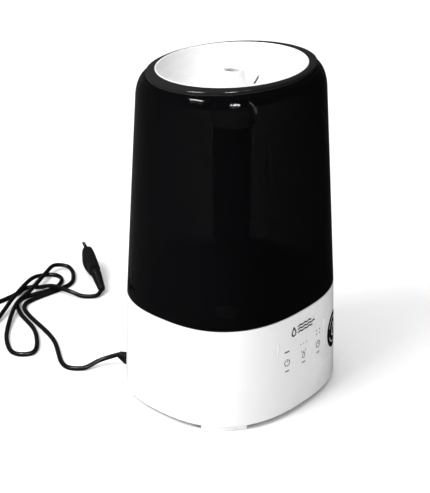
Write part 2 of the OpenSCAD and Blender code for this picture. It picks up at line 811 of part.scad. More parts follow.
module strain_relief() {
    root_y = wall_y(outlet_x - 6.5, outlet_z, base_wall) - 2.6;
    grip_y = wall_y(outlet_x + 6, outlet_z, 0) + 0.8;
    tip_y = cord_route[0].y;
    ribs = 4;
    pitch = (tip_y - 2 - grip_y) / ribs;
    color("black") translate([outlet_x, 0, outlet_z]) rotate([-90, 0, 0]) {
        translate([0, 0, root_y]) cylinder(h = 2.2, r = 6.5);
        translate([0, 0, root_y]) cylinder(h = grip_y - root_y + 1, r = 4);
        for (i = [0:ribs - 1])
            translate([0, 0, grip_y + i * pitch]) cylinder(h = pitch - 0.9, r = 6.6 - 0.9 * i);
        translate([0, 0, grip_y]) cylinder(h = tip_y - grip_y, r1 = 4.4, r2 = 3);
    }
}

// A point on the smooth curve through four neighbouring route points
function curve_point(a, b, c, d, u) =
    0.5 * (2 * b + (c - a) * u + (2 * a - 5 * b + 4 * c - d) * u * u + (3 * b - a - 3 * c + d) * u * u * u);

function route_at(k, u) =
    let (
        last = len(cord_route) - 1,
        p = curve_point(
            cord_route[max(k - 1, 0)], cord_route[k], cord_route[min(k + 1, last)], cord_route[min(k + 2, last)], u)
    )
    [p.x, p.y, max(p.z, cord_d / 2)];

cord_spine = concat(
    [for (k = [0:len(cord_route) - 2], u = [0, 0.5]) route_at(k, u)],
    [cord_route[len(cord_route) - 1]]
);

function unit(v) = v / norm(v);

function spine_heading(i) =
    unit(cord_spine[min(i + 1, len(cord_spine) - 1)] - cord_spine[max(i - 1, 0)]);

function cord_ring(i) =
    let (t = spine_heading(i), s = unit(cross(t, [0, 0, 1])), u = cross(s, t))
    [for (k = [0:7]) cord_spine[i] + cord_d / 2 * (cos(45 * k) * s + sin(45 * k) * u)];

module power_cord() {
    rings = len(cord_spine);
    points = [for (i = [0:rings - 1]) each cord_ring(i)];
    walls = [for (i = [0:rings - 2], k = [0:7], half = [0, 1])
        let (a = 8 * i + k, b = 8 * i + (k + 1) % 8)
        half == 0 ? [a, b, b + 8] : [a, b + 8, a + 8]];
    ends = [[for (k = [7:-1:0]) k], [for (k = [0:7]) 8 * (rings - 1) + k]];
    color("black") polyhedron(points, concat(walls, ends), convexity = 10);
}

// Places its children with +X along the plug, level with the middle of its edge-on body
module at_plug() {
    translate([plug_tip.x, plug_tip.y, 0]) rotate(plug_heading) children();
}

module plug_body() {
    front = relief_len + plug_len;
    grip = 8;
    color("black") at_plug() translate([0, plug_t / 2, plug_h / 2]) rotate([90, 0, 0])
        linear_extrude(plug_t)
            polygon([
                [relief_len, -7.5], [relief_len + grip, -9.5], [relief_len + 20, -12], [front - 8, -plug_h / 2],
                [front - 2, -plug_h / 2], [front, 2 - plug_h / 2], [front, plug_h / 2 - 2],
                [front - 2, plug_h / 2], [front - 8, plug_h / 2], [relief_len + 20, 12],
                [relief_len + grip, 9.5], [relief_len, 7.5]
            ]);
}

module plug_relief() {
    drop = plug_h / 2 - plug_tip.z;
    reach = norm([relief_len, drop]);
    color("black") at_plug() translate([0, 0, plug_tip.z]) rotate([0, 90 - atan2(drop, relief_len), 0])
        cylinder(h = reach - 0.6, r1 = 4.4, r2 = 6.2);
}

module plug_pins() {
    color("silver") at_plug()
        for (side = [-1, 1])
            translate([relief_len + plug_len, 0, plug_h / 2 + side * pin_gap / 2])
                rotate([0, 90, 0]) cylinder(h = pin_len, d = pin_d);
}

base_housing();
bottom_plate();
feet();
plate_screws();
water_tray();
transducer_disc();
transducer_seal();
transducer_ring();
transducer_screws();
fan_housing();
fan_motor();
air_duct();
fan_screws();
driver_board();
heat_sink();
power_board();
touch_board();
round_badge();
float_clip();
fan_rotor();
fan_shaft();
float_puck();
float_magnet();
tank_shell();
tank_floor();
mist_tube();
valve_cap();
valve_plunger();
valve_seal();
valve_spring();
lid_rim();
lid_dish();
lid_seal();
lid_collar();
mist_nozzle();
strain_relief();
power_cord();
plug_body();
plug_relief();
plug_pins();
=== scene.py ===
import math

import bmesh
import bpy
from mathutils import Matrix, Vector


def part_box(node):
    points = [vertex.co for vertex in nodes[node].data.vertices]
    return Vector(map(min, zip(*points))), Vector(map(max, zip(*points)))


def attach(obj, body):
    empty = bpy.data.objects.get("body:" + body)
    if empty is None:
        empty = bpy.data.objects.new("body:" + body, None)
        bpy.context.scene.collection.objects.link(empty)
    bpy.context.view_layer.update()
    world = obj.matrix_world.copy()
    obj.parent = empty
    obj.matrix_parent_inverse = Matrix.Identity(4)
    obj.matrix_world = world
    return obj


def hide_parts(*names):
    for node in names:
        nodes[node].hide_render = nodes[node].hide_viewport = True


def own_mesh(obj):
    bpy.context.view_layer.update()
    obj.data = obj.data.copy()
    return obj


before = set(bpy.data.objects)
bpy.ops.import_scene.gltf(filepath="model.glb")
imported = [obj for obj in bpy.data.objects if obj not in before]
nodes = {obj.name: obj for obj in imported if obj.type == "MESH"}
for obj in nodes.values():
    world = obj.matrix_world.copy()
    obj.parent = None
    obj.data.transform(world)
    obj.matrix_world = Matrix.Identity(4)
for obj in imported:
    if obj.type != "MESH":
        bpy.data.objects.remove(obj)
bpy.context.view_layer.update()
scene = bpy.context.scene
scene.view_settings.view_transform = "Standard"
MM = 0.001

# ---- Camera ----
# A short telephoto stands above and to the left of the humidifier's front,
# so that the top of the lid, the front and a little of the right side show.
camera_data = bpy.data.cameras.new("camera")
camera_data.sensor_width = 36
camera_data.lens = 93.14
camera = bpy.data.objects.new("camera", camera_data)
scene.collection.objects.link(camera)
camera_place, camera_heading = (-0.8628, -0.7240, 0.6659), (0.6868, 0.5931, -0.4205)
camera.location = camera_place
camera.rotation_euler = Vector(camera_heading).to_track_quat("-Z", "Y").to_euler()
scene.camera = camera


# ---- Table and light ----
# The object stands on a plain white table. The key light is a soft box high on the left,
# so the shadows fall to the right, where the room is darkest. The gloss shows no table,
# a much darker room, and three more boxes that are seen only there, as glints.
class Value:
    """A socket that takes part in plain arithmetic; each step adds its Math node."""

    def __init__(self, graph, socket):
        self.graph = graph
        self.socket = socket

    def out(self, name):
        return Value(self.graph, self.socket.node.outputs[name])

    def math(self, operation, first, second=0.0):
        return self.graph.add("ShaderNodeMath", {"operation": operation}, {0: first, 1: second})

    def __add__(self, other):
        return self.math("ADD", self, other)

    def __radd__(self, other):
        return self.math("ADD", other, self)

    def __sub__(self, other):
        return self.math("SUBTRACT", self, other)

    def __rsub__(self, other):
        return self.math("SUBTRACT", other, self)

    def __mul__(self, other):
        return self.math("MULTIPLY", self, other)

    def __rmul__(self, other):
        return self.math("MULTIPLY", other, self)

    def __truediv__(self, other):
        return self.math("DIVIDE", self, other)

    def __gt__(self, other):
        return self.math("GREATER_THAN", self, other)

    def __lt__(self, other):
        return self.math("LESS_THAN", self, other)


class Graph:
    """A node tree; add makes any node, and a list of values joins them all to one socket."""

    def __init__(self, tree):
        self.tree = tree

    def add(self, kind, settings=None, inputs=None, output=0):
        node = self.tree.nodes.new(kind)
        for name, value in (settings or {}).items():
            if name == "stops":
                ramp = node.color_ramp.elements
                for stop, (place, colour) in zip((ramp[0], ramp[1]), value):
                    stop.position = place
                    stop.color = colour
            else:
                setattr(node, name, value)
        for name, given in (inputs or {}).items():
            for value in given if isinstance(given, list) else [given]:
                if isinstance(value, Value):
                    self.tree.links.new(value.socket, node.inputs[name])
                else:
                    node.inputs[name].default_value = value
        return Value(self, node.outputs[output]) if node.outputs else None


def new_paint(name):
    """A material with an empty tree, and the place of each point on the piece."""
    material = bpy.data.materials.new(name)
    material.use_nodes = True
    material.node_tree.nodes.clear()
    graph = Graph(material.node_tree)
    return material, graph, graph.add("ShaderNodeTexCoord").out("Object")


def tint(graph, share, low, high):
    return graph.add(
        "ShaderNodeMix", {"data_type": "RGBA"}, {0: share, 6: (*low, 1.0), 7: (*high, 1.0)}, output=2
    )


def noise(graph, place, scale, detail=2.0):
    return graph.add("ShaderNodeTexNoise", inputs={"Vector": place, "Scale": scale, "Detail": detail})


def bumps(graph, height, strength, depth):
    return graph.add("ShaderNodeBump", inputs={"Height": height, "Strength": strength, "Distance": depth})


def finish_paint(graph, **sockets):
    inputs = {name.replace("_", " "): value for name, value in sockets.items()}
    surface = graph.add("ShaderNodeBsdfPrincipled", inputs=inputs)
    graph.add("ShaderNodeOutputMaterial", inputs={"Surface": surface})


def table_paint():
    material, graph, place = new_paint("table_white")
    cloud = noise(graph, place, 3.0)
    finish_paint(
        graph,
        Base_Color=tint(graph, cloud, (0.88, 0.88, 0.88), (0.92, 0.92, 0.92)),
        Roughness=0.8 + cloud * 0.1,
        IOR=1.3,
    )
    return material


table_half = 6
table_corners = [(x * table_half, y * table_half, 0) for x, y in ((-1, -1), (1, -1), (1, 1), (-1, 1))]
table_mesh = bpy.data.meshes.new("table")
table_mesh.from_pydata(table_corners, [], [(0, 1, 2, 3)])
table_mesh.materials.append(table_paint())
table = bpy.data.objects.new("table", table_mesh)
scene.collection.objects.link(table)
table.visible_glossy = False

room_dark, room_bright, dimmed_in_gloss = 0.16, 1.35, 0.93
world = bpy.data.worlds.new("room")
world.use_nodes = True
world.node_tree.nodes.clear()
room = Graph(world.node_tree)
seen_in_gloss = room.add("ShaderNodeLightPath").out("Is Glossy Ray")
heading = room.add("ShaderNodeTexCoord").out("Generated")
to_left = room.add(
    "ShaderNodeVectorMath", {"operation": "DOT_PRODUCT"}, {0: heading, 1: (-0.8, 0.6, 0.3)}, output=1
)
side_light = room.add("ShaderNodeMapRange", {"interpolation_type": "SMOOTHSTEP"}, {
    "Value": to_left, "From Min": -0.8, "From Max": 0.3, "To Min": room_dark, "To Max": room_bright,
})
room_light = room.add("ShaderNodeBackground", inputs={
    "Color": (1, 1, 1, 1), "Strength": side_light * (1.0 - seen_in_gloss * dimmed_in_gloss),
})
room.add("ShaderNodeOutputWorld", inputs={"Surface": room_light})
scene.world = world


def soft_box(name, place, aim, width, height, power):
    data = bpy.data.lights.new(name, "AREA")
    data.shape = "RECTANGLE"
    data.size = width
    data.size_y = height
    data.energy = power
    box = bpy.data.objects.new(name, data)
    scene.collection.objects.link(box)
    box.location = place
    box.rotation_euler = (Vector(aim) - Vector(place)).to_track_quat("-Z", "Y").to_euler()
    return box


key_light = soft_box("key_light", (-1.9, 0.5, 2.4), (0, 0.05, 0.1), 1.3, 1.3, 66)
key_light.visible_glossy = False
for glint in (
    soft_box("window_glint", (-1.6, -0.2, 2.14), (0, 0, 0.25), 0.7, 0.35, 90),
    soft_box("lamp_glint", (-0.9, -1.9, 1.5), (0, 0, 0.25), 0.4, 0.25, 45),
    soft_box("strip_glint", (-0.2, -2.2, 1.0), (0, 0, 0.2), 0.06, 1.6, 3),
):
    glint.visible_diffuse = False

# ---- Mains lead ----
# A round two-core lead in black PVC, about a metre and a quarter long. It leaves the
# back of the base, lies in a loose hank and crosses itself before it reaches the plug.
lead_d = 4.8
lead_route = [
    (-62, 98, 14), (-74, 113, 7), (-93, 121, 2.4), (-100, 142, 2.4), (-70, 190, 2.4), (-50, 252, 2.4),
    (-38, 271, 2.4), (-20, 275, 2.4), (28, 271, 2.4), (50, 285, 2.6), (60, 304, 4.4), (48, 315, 7.2),
    (27, 307, 7.6), (-16, 286, 7.6), (-50, 272, 7.4), (-91, 240, 2.4), (-113, 212, 2.4), (-117, 195, 2.4),
    (-106, 184, 2.4), (-91, 192, 2.4), (-69, 221, 2.4), (-53, 262, 2.4), (-32, 286, 2.4), (8, 278, 2.4),
    (30, 284, 2.4), (38, 299, 2.4), (27, 313, 2.4), (4, 308, 7.2), (-39, 288, 7.6), (-92, 263, 3.2),
    (-126, 268, 2.4), (-116, 300, 2.4), (-33, 299, 2.4), (-9, 303, 2.4), (4, 292, 2.6), (9, 275, 7.6),
    (13, 252, 7), (20, 238, 2.8), (31, 227, 2.8), (42, 229, 6),
]


def between(p, q, r, s, u):
    """The value at a share u of the way from q to r on the smooth curve through all four."""
    return 0.5 * (
        2 * q + (r - p) * u + (2 * p - 5 * q + 4 * r - s) * u**2 + (3 * q - p - 3 * r + s) * u**3
    )


def smooth_line(points, steps):
    """Points on the smooth curve through the given ones, of any number of values."""
    line = []
    for k in range(len(points) - 1):
        a, b, c, d = (points[min(max(k + n, 0), len(points) - 1)] for n in (-1, 0, 1, 2))
        for step in range(steps):
            line.append(tuple(between(*values, step / steps) for values in zip(a, b, c, d)))
    return line + [tuple(points[-1])]


def soft_black(name, colour, roughness, grain):
    """Matt PVC with a fine skin and slightly shinier rubbed patches."""
    material, graph, place = new_paint(name)
    rubbed = noise(graph, place, 60.0, 3.0)
    skin = noise(graph, place, 1500.0)
    finish_paint(
        graph,
        Base_Color=tint(graph, rubbed, colour, [c * 1.7 for c in colour]),
        Roughness=roughness - rubbed * 0.12,
        Normal=bumps(graph, skin, grain, 0.0002),
        IOR=1.35,
    )
    return material


cord_paint = soft_black("cord_pvc", (0.0022, 0.0022, 0.0024), 0.36, 0.15)
lead_low, lead_high = (Vector(corner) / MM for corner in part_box("power_cord"))
lead_r, lead_steps = lead_d / 2, 6
line = [
    Vector((max(x, lead_low.x + lead_r), min(y, lead_high.y - lead_r), max(z, lead_r))) * MM
    for x, y, z in smooth_line(lead_route, lead_steps)
]
lead_curve = bpy.data.curves.new("mains_lead", "CURVE")
lead_curve.dimensions = "3D"
lead_curve.bevel_depth = lead_r * MM
lead_curve.bevel_resolution = 5
lead_curve.use_fill_caps = True
strand = lead_curve.splines.new("POLY")
strand.points.add(len(line) - 1)
for point, place in zip(strand.points, line):
    point.co = (*place, 1)
strand.use_smooth = True
lead_curve.materials.append(cord_paint)
lead = bpy.data.objects.new("mains_lead", lead_curve)
scene.collection.objects.link(lead)
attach(lead, "base")
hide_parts("power_cord")

# ---- Strain relief and plug ----
# Both reliefs are ribbed, tapered sleeves in soft black PVC. The plug is a flat two-pin
# Europlug moulded on to the lead; it lies on its narrow edge. Its pins are nickelled
# brass in black sleeves.
def skin(rings, closed=False):
    """Points and faces of a tube through rings with the same number of points."""
    count = len(rings[0])
    faces = []
    for k in range(len(rings) if closed else len(rings) - 1):
        low, high = k * count, (k + 1) % len(rings) * count
        faces += [(low + i, low + (i + 1) % count, high + (i + 1) % count, high + i) for i in range(count)]
    if not closed:
        faces += [tuple(range(count)), tuple(range((len(rings) - 1) * count, len(rings) * count))]
    return [p for ring in rings for p in ring], faces


def rounded(corners, steps=4):
    """A closed profile with soft corners; each corner is its values and its setback."""
    profile = []
    for k, (values, setback) in enumerate(corners):
        here = Vector(values)
        if setback == 0:
            profile.append(here)
            continue
        before = Vector(corners[k - 1][0]) - here
        after = Vector(corners[(k + 1) % len(corners)][0]) - here
        start = here + before.normalized() * min(setback, before.length * 0.48)
        end = here + after.normalized() * min(setback, after.length * 0.48)
        for step in range(steps + 1):
            u = step / steps
            profile.append(start * (1 - u) ** 2 + here * 2 * u * (1 - u) + end * u**2)
    return profile


def full_turn(count):
    return [math.tau * i / count for i in range(count)]


def lathe(profile, around=48):
    """A turned body; a profile that keeps off the axis closes on itself."""
    rings = [[(r * math.cos(t), r * math.sin(t), z) for t in full_turn(around)] for r, z in profile]
    return skin(rings, closed=min(r for r, z in profile) > 0)


def shape(name, shells, place=None):
    """One mesh in metres from closed shells in millimetres, with its faces outwards."""
    build = bmesh.new()
    for points, faces in shells:
        made = [build.verts.new(Vector(p) * MM) for p in points]
        for face in faces:
            build.faces.new([made[i] for i in face])
    bmesh.ops.remove_doubles(build, verts=build.verts, dist=1e-7)
    bmesh.ops.recalc_face_normals(build, faces=build.faces)
    mesh = bpy.data.meshes.new(name)
    build.to_mesh(mesh)
    build.free()
    if place:
        mesh.transform(place)
    return mesh


def piece(name, mesh, paint, body, slot, *stands_for):
    """Puts a finished mesh into the scene on its body and for its CAD nodes."""
    mesh.materials.clear()
    mesh.materials.append(paint)
    for face in mesh.polygons:
        face.use_smooth = True
    mesh.set_sharp_from_angle(angle=math.radians(32))
    made = bpy.data.objects.new(name, mesh)
    scene.collection.objects.link(made)
    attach(made, body)
    if stands_for:
        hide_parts(*stands_for)
    return made


def from_shells(name, shells, paint, body, slot, *stands_for, place=None):
    return piece(name, shape(name, shells, place), paint, body, slot, *stands_for)


def new_tree(name, inputs):
    """A Geometry Nodes tree with named inputs; returns its graph and their values."""
    tree = bpy.data.node_groups.new(name, "GeometryNodeTree")
    tree.interface.new_socket("Geometry", in_out="INPUT", socket_type="NodeSocketGeometry")
    for label, kind in inputs.items():
        tree.interface.new_socket(label, in_out="INPUT", socket_type="NodeSocket" + kind)
    tree.interface.new_socket("Geometry", in_out="OUTPUT", socket_type="NodeSocketGeometry")
    graph = Graph(tree)
    given = tree.nodes.new("NodeGroupInput")
    return graph, {socket.name: Value(graph, socket) for socket in given.outputs if socket.name}


def vector(graph, x=0.0, y=0.0, z=0.0):
    return graph.add("ShaderNodeCombineXYZ", inputs={0: x, 1: y, 2: z})


def close_tree(graph, instances, paint):
    """Ends a tree: real geometry in its material."""
    real = graph.add("GeometryNodeRealizeInstances", inputs={0: instances})
    dressed = graph.add("GeometryNodeSetMaterial", inputs={"Geometry": real, "Material": paint})
    graph.add("NodeGroupOutput", inputs={0: dressed})
    return graph.tree


def grow(tree, values, source=None):
    """Runs a tree on a source mesh and returns the result as a plain mesh."""
    carrier = bpy.data.objects.new(tree.name, source or bpy.data.meshes.new(tree.name))
    scene.collection.objects.link(carrier)
    modifier = carrier.modifiers.new(tree.name, "NODES")
    modifier.node_group = tree
    labels = {item.name: item.identifier for item in tree.interface.items_tree if item.in_out == "INPUT"}
    for label, value in values.items():
        modifier[labels[label]] = value
    depsgraph = bpy.context.evaluated_depsgraph_get()
    grown = bpy.data.meshes.new_from_object(carrier.evaluated_get(depsgraph), depsgraph=depsgraph)
    bpy.data.objects.remove(carrier)
    return grown


def rib_tree():
    """Round ribs in a row along +Z whose radius changes evenly from first to last."""
    graph, given = new_tree("sleeve_ribs", {
        "Ribs": "Int", "Start": "Float", "Pitch": "Float", "First radius": "Float",
        "Last radius": "Float", "Thickness": "Float", "Material": "Material",
    })
    line = graph.add("GeometryNodeMeshLine", {"mode": "OFFSET"}, {
        "Count": given["Ribs"],
        "Start Location": vector(graph, z=given["Start"]),
        "Offset": vector(graph, z=given["Pitch"]),
    })
    by_radius = {"mode": "RADIUS"}
    ring = graph.add("GeometryNodeCurvePrimitiveCircle", by_radius, {"Resolution": 40, "Radius": 1.0})
    share = graph.add("GeometryNodeInputIndex") / (given["Ribs"] - 1.0)
    radius = given["First radius"] + (given["Last radius"] - given["First radius"]) * share
    circles = graph.add("GeometryNodeInstanceOnPoints", inputs={
        "Points": line, "Instance": ring, "Scale": vector(graph, radius, radius, 1.0),
    })
    real = graph.add("GeometryNodeRealizeInstances", inputs={0: circles})
    wire = graph.add(
        "GeometryNodeCurvePrimitiveCircle", by_radius, {"Resolution": 12, "Radius": given["Thickness"]}
    )
    ribs = graph.add("GeometryNodeCurveToMesh", inputs={"Curve": real, "Profile Curve": wire})
    return close_tree(graph, ribs, given["Material"])


plug_paint = soft_black("plug_pvc", (0.003, 0.003, 0.0033), 0.42, 0.1)
sleeve_ribs = rib_tree()
rib_r = 0.7


def fit_ribs(name, place, count, start, pitch, first_r, last_r):
    """A row of ribs on a sleeve, with its sizes in millimetres."""
    sizes = {"Ribs": count, "Start": start * MM, "Pitch": pitch * MM, "First radius": first_r * MM,
             "Last radius": last_r * MM, "Thickness": rib_r * MM, "Material": plug_paint}
    mesh = grow(sleeve_ribs, sizes)
    mesh.transform(place)
    return piece(name, mesh, plug_paint, "base", "plug_black")


outlet = Vector((lead_route[0][0], 0, lead_route[0][2]))
out_of_back = Matrix.Translation(outlet * MM) @ Matrix.Rotation(-math.pi / 2, 4, "X")
relief_core = rounded([
    ((0, 72.2), 0), ((6.5, 72.2), 0.4), ((6.5, 74.2), 0.4), ((3.9, 74.2), 0), ((3.9, 85), 0),
    ((6.4, 85), 0.6), ((6.4, 87.2), 0.7), ((4.2, 87.6), 0), ((2.9, 98), 0.4), ((0, 98), 0),
])
relief = from_shells(
    "cord_relief", [lathe(relief_core)], plug_paint, "base", "plug_black", "strain_relief", place=out_of_back
)
relief_ribs = fit_ribs("cord_relief_ribs", out_of_back, 4, 89.2, 2.3, 5.0, 3.2)

plug_tip = Vector(lead_route[-1])
plug_height, plug_start, plug_front, plug_turn = 28, 32, 75, math.radians(58.5)
at_plug = Matrix.Translation(Vector((plug_tip.x, plug_tip.y, 0)) * MM) @ Matrix.Rotation(plug_turn, 4, "Z")


def plug_section(x, half_height, half_thick, roundness=0.62):
    ring = []
    for turn in full_turn(48):
        c, s = math.cos(turn), math.sin(turn)
        y = half_thick * math.copysign(abs(c) ** roundness, c)
        z = half_height * math.copysign(abs(s) ** roundness, s)
        ring.append((x, y, plug_height / 2 + z))
    return ring


plug_outline = smooth_line([
    (plug_start, 7.0, 6.0), (37, 8.5, 6.2), (43, 10, 6.5), (52, 12, 6.8), (60, 13.3, 6.9), (68, 14, 7),
    (73, 13.7, 6.8), (plug_front - 0.3, 12.9, 6.3), (plug_front, 12.4, 5.9),
], 12)
grip_from, grip_to, grip_pitch, grip_depth = 46, 62, 3.2, 0.28
plug_rings = []
for x, half_height, half_thick in plug_outline:
    in_grip = grip_from < x < grip_to
    groove = grip_depth * (1 - math.cos(math.tau * (x - grip_from) / grip_pitch)) if in_grip else 0
    plug_rings.append(plug_section(x, min(half_height, plug_height / 2), half_thick - groove))
plug_body = from_shells(
    "plug_moulding", [skin(plug_rings)], plug_paint, "base", "plug_black", "plug_body", place=at_plug
)

sleeve_drop = plug_height / 2 - plug_tip.z
sleeve_length = math.hypot(plug_start, sleeve_drop)
along_sleeve = at_plug @ Matrix.Translation((0, 0, plug_tip.z * MM)) @ Matrix.Rotation(
    math.pi / 2 - math.atan2(sleeve_drop, plug_start), 4, "Y"
)
sleeve_thin, sleeve_thick, sleeve_end = 3.7, 5.7, sleeve_length + 0.5
sleeve_core = rounded([
    ((0, -0.5), 0), ((sleeve_thin, -0.5), 0.6), ((sleeve_thick, sleeve_end), 0), ((0, sleeve_end), 0),
])
plug_sleeve = from_shells(
    "plug_sleeve", [lathe(sleeve_core)], plug_paint, "base", "plug_black", "plug_relief", place=along_sleeve
)
plug_sleeve_ribs = fit_ribs("plug_sleeve_ribs", along_sleeve, 9, 2, 3.2, 3.6, 5.3)


def bright_metal(name, colour, roughness, stretch=(1, 1, 1), scratch=0.08):
    """Metal with fine drawn or turned marks, long in the direction of a small stretch."""
    material, graph, place = new_paint(name)
    drawn = graph.add("ShaderNodeMapping", inputs={"Vector": place, "Scale": stretch})
    marks = noise(graph, drawn, 900.0, 4.0)
    tarnish = noise(graph, place, 120.0)
    finish_paint(
        graph,
        Base_Color=tint(graph, tarnish, [c * 0.86 for c in colour], colour),
        Metallic=1.0,
        Roughness=roughness + (marks - 0.5) * 0.16,
        Normal=bumps(graph, marks, scratch, 0.0001),
    )
    return material


pin_length, pin_gap, pin_r, insulated = 19, 18.6, 2.0, 10
cover_r = pin_r + 0.02
pin_profile = rounded([((0, 0), 0), ((pin_r, 0), 0), ((pin_r, pin_length), 1.2), ((0, pin_length), 0)])
cover_profile = rounded([((0, 0), 0), ((cover_r, 0), 0), ((cover_r, insulated), 0.15), ((0, insulated), 0)])


def at_pins(profile):
    turned = []
    for side in (-1, 1):
        points, faces = lathe(profile, 32)
        height = plug_height / 2 + side * pin_gap / 2
        turned.append(([(plug_front + z, x, height + y) for x, y, z in points], faces))
    return turned


pin_metal = bright_metal("pin_nickel", (0.74, 0.73, 0.70), 0.22, (1, 1, 0.2))
pins = from_shells(
    "plug_contacts", at_pins(pin_profile), pin_metal, "base", "pin_nickel", "plug_pins", place=at_plug
)
pin_covers = from_shells(
    "pin_covers", at_pins(cover_profile), plug_paint, "base", "plug_black", place=at_plug
)

# ---- Bottom plate, feet and screws ----
# The plate is a flat white ABS moulding with an air grille under the fan; its colour is
# a mid grey, painted shade for the dark gap under the base. Four soft curved feet are glued
# under its edge, and four cross-head screws hold it to the base.
base_h, foot_h, plate_t = 105.2, 4.6, 2.8
foot_half, joint_half, base_square, base_wall = (105, 93), (101.6, 89.6), 2.5, 2.8
plate_top = foot_h + plate_t


def base_half(z, inset):
    share = (z - foot_h) / (base_h - foot_h)
    return [foot + (joint - foot) * share - inset for foot, joint in zip(foot_half, joint_half)]


def outline_point(half, square, turn):
    c, s = math.cos(turn), math.sin(turn)
    x = half[0] * math.copysign(abs(c) ** (2 / square), c)
    y = half[1] * math.copysign(abs(s) ** (2 / square), s)
    return x, y


def moulded(name, colour, roughness, grain=0.05, mottle=0.04, **constants):
    """Moulded plastic: faint flow marks in the colour, and a fine skin in the gloss."""
    material, graph, place = new_paint(name)
    flow = noise(graph, place, 14.0, 3.0)
    skin_noise = noise(graph, place, 1100.0)
    finish_paint(
        graph,
        Base_Color=tint(graph, flow, [c * (1 - mottle) for c in colour], colour),
        Roughness=roughness + (flow - 0.5) * 0.12 + (skin_noise - 0.5) * 0.04,
        Normal=bumps(graph, skin_noise, grain, 0.0002),
        **constants,
    )
    return material


def smoothing_tree():
    """Shades a CAD mesh smooth except across its real edges."""
    graph, given = new_tree("soft_shading", {})
    angle = graph.add("GeometryNodeInputMeshEdgeAngle")
    softened = graph.add(
        "GeometryNodeSetShadeSmooth", {"domain": "EDGE"},
        {"Geometry": given["Geometry"], "Shade Smooth": 1.0 - (angle > math.radians(32))},
    )
    graph.add("NodeGroupOutput", inputs={0: softened})
    return graph.tree


soft_shading = smoothing_tree()


def dress(name, paint, edge=0.3):
    """Gives a CAD node its material, broken edges and smooth curved faces."""
    made = nodes[name]
    made.material_slots[0].material = paint
    weld = made.modifiers.new("weld", "WELD")
    weld.merge_threshold = 1e-6
    if edge:
        bevel = made.modifiers.new("edges", "BEVEL")
        bevel.width = edge * MM
        bevel.segments = 2
        bevel.limit_method = "ANGLE"
        bevel.angle_limit = math.radians(40)
    shading = made.modifiers.new("shading", "NODES")
    shading.node_group = soft_shading
    return made


# Mid grey, not the plate's white: painted shade in the gap under the base.
plate_shade_grey = moulded("plate_shade_grey", (0.5, 0.5, 0.5), 0.5, 0.12)
dress("bottom_plate", plate_shade_grey)

corners = [(sx, sy) for sx in (-1, 1) for sy in (-1, 1)]
foot_inset, foot_w, foot_edge = 1.8, 11, 0.7
foot_from, foot_span, foot_steps = 24, 30, 20
foot_turns = [math.radians(foot_from + foot_span * i / foot_steps) for i in range(foot_steps + 1)]
foot_outer = base_half(foot_h, foot_inset)
foot_inner = [h - foot_w for h in foot_outer]
edge_share = foot_edge / foot_w
foot_section = [
    (0, foot_h), (0, foot_edge), (edge_share, 0), (1 - edge_share, 0), (1, foot_edge), (1, foot_h),
]


def foot_ring(turn, sx, sy):
    """A foot's cross-section at one turn of the plan, in the corner that the signs give."""
    outer, inner = (Vector(outline_point(half, base_square, turn)) for half in (foot_outer, foot_inner))
    spots = [(inner + (outer - inner) * share, z) for share, z in foot_section]
    return [(sx * spot.x, sy * spot.y, z) for spot, z in spots]


foot_shells = [skin([foot_ring(turn, sx, sy) for turn in foot_turns]) for sx, sy in corners]
foot_paint = soft_black("foot_rubber", (0.55, 0.55, 0.54), 0.6, 0.3)
from_shells("soft_feet", foot_shells, foot_paint, "base", "foot_rubber", "feet")


def screw_tree():
    """Cross-head screws, heads down, one at each point of the source mesh."""
    graph, given = new_tree("cross_screws", {
        "Head radius": "Float", "Head height": "Float", "Shank radius": "Float", "Shank length": "Float",
        "Material": "Material",
    })
    head = graph.add("GeometryNodeMeshCylinder", {"fill_type": "NGON"}, {
        "Vertices": 32, "Radius": given["Head radius"], "Depth": given["Head height"],
    })
    head_low = graph.add("GeometryNodeTransform", inputs={
        "Geometry": head, "Translation": vector(graph, z=given["Head height"] * 0.5),
    })
    wide, thin = given["Head radius"] * 1.25, given["Head radius"] * 0.26
    cross = [
        graph.add("GeometryNodeMeshCube", inputs={"Size": vector(graph, x, y, given["Head height"])})
        for x, y in ((wide, thin), (thin, wide))
    ]
    recessed = graph.add("GeometryNodeMeshBoolean", {"operation": "DIFFERENCE"}, {
        "Mesh 1": head_low, "Mesh 2": graph.add("GeometryNodeJoinGeometry", inputs={0: cross}),
    })
    shank = graph.add("GeometryNodeMeshCylinder", {"fill_type": "NGON"}, {
        "Vertices": 24, "Radius": given["Shank radius"], "Depth": given["Shank length"],
    })
    shank_middle = given["Shank length"] * 0.5 + given["Head height"]
    shank_up = graph.add("GeometryNodeTransform", inputs={
        "Geometry": shank, "Translation": vector(graph, z=shank_middle),
    })
    screw = graph.add("GeometryNodeJoinGeometry", inputs={0: [recessed, shank_up]})
    placed = graph.add("GeometryNodeInstanceOnPoints", inputs={
        "Points": given["Geometry"], "Instance": screw,
    })
    return close_tree(graph, placed, given["Material"])


cross_screws = screw_tree()
zinc = bright_metal("zinc_screw", (0.62, 0.62, 0.63), 0.3)
screw_head_r, screw_head_h, screw_r = 2.9, 2.2, 1.5


def fit_screws(name, points, shank, slot_node):
    places = bpy.data.meshes.new(name)
    places.from_pydata([Vector(p) * MM for p in points], [], [])
    sizes = {"Head radius": screw_head_r * MM, "Head height": screw_head_h * MM,
             "Shank radius": screw_r * MM, "Shank length": shank * MM, "Material": zinc}
    piece(name, grow(cross_screws, sizes, places), zinc, "base", "steel_screw", slot_node)


boss_in, boss_turn = 3.2, math.radians(22)
boss_x, boss_y = outline_point(base_half(plate_top, base_wall + boss_in), base_square, boss_turn)
boss_places = [(sx * boss_x, sy * boss_y) for sx, sy in corners]
fit_screws("base_screws", [(x, y, foot_h - screw_head_h) for x, y in boss_places], 17.8, "plate_screws")

